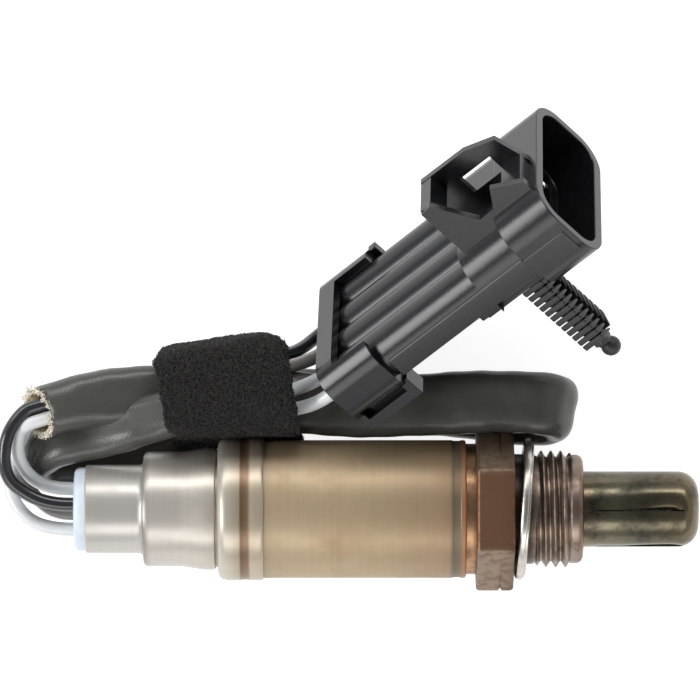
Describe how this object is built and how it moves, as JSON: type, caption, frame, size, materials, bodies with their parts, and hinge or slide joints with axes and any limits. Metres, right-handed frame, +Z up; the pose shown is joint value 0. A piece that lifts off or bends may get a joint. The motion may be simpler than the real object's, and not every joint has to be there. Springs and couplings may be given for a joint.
{
  "type": "oxygen sensor",
  "caption": "Heated exhaust oxygen sensor probe with hexagon, thread and slotted tip, its lead folded back and held by a strap, ending in a latching plug with a panel clip.",
  "frame": {"origin": "on the surface it lies on, under the middle of the probe's length", "axes": "+X along the probe's axis towards its slotted tip, +Z up from the surface, +Y from the probe towards the folded lead"},
  "size_m": [0.1082, 0.074, 0.0453],
  "materials": {
    "shell_steel": "heat-tinted turned steel",
    "cap_steel": "bright drawn stainless steel",
    "sleeve_steel": "straw-tinted stainless tube",
    "ring_steel": "bright folded sheet",
    "tip_steel": "satin heat-tinted tube",
    "inner_ceramic": "matt fired ceramic",
    "contact_metal": "plated spring strip",
    "grommet_polymer": "smooth pale fluoropolymer",
    "white_insulation": "glossy",
    "grey_insulation": "glossy",
    "black_insulation": "glossy",
    "loom_sleeving": "coated glass-fibre braid",
    "strap_fabric": "hook-and-loop pile",
    "plug_polymer": "moulded, faint sheen",
    "seal_rubber": "soft silicone",
    "terminal_brass": "tin-plated"
  },
  "bodies": {
    "root": {"threaded_shell": "shell_steel", "rear_cap": "cap_steel", "probe_sleeve": "sleeve_steel", "protection_tube": "tip_steel", "sealing_ring": "ring_steel", "wire_grommet": "grommet_polymer", "sensing_element": "inner_ceramic", "packing_washer": "ring_steel", "signal_contact_disc": "contact_metal", "ceramic_bush": "inner_ceramic", "disc_spring": "contact_metal", "heater_rod": "inner_ceramic", "contact_carrier": "inner_ceramic", "signal_contact": "contact_metal", "heater_contact_a": "contact_metal", "ground_contact": "contact_metal", "heater_contact_b": "contact_metal", "wire_sleeving": "loom_sleeving", "black_wire_rear": "black_insulation", "white_wire_a_rear": "white_insulation", "grey_wire_rear": "grey_insulation", "white_wire_b_rear": "white_insulation", "white_wire_a_plug": "white_insulation", "white_wire_b_plug": "white_insulation", "grey_wire_plug": "grey_insulation", "black_wire_plug": "black_insulation", "cable_strap": "strap_fabric", "plug_housing": "plug_polymer", "plug_shroud": "plug_polymer", "plug_latch": "plug_polymer", "secondary_lock": "plug_polymer", "tree_clip": "plug_polymer", "wire_seal_1": "seal_rubber", "blade_terminal_1": "terminal_brass", "wire_seal_2": "seal_rubber", "blade_terminal_2": "terminal_brass", "wire_seal_3": "seal_rubber", "blade_terminal_3": "terminal_brass", "wire_seal_4": "seal_rubber", "blade_terminal_4": "terminal_brass"}
  },
  "joints": []
}
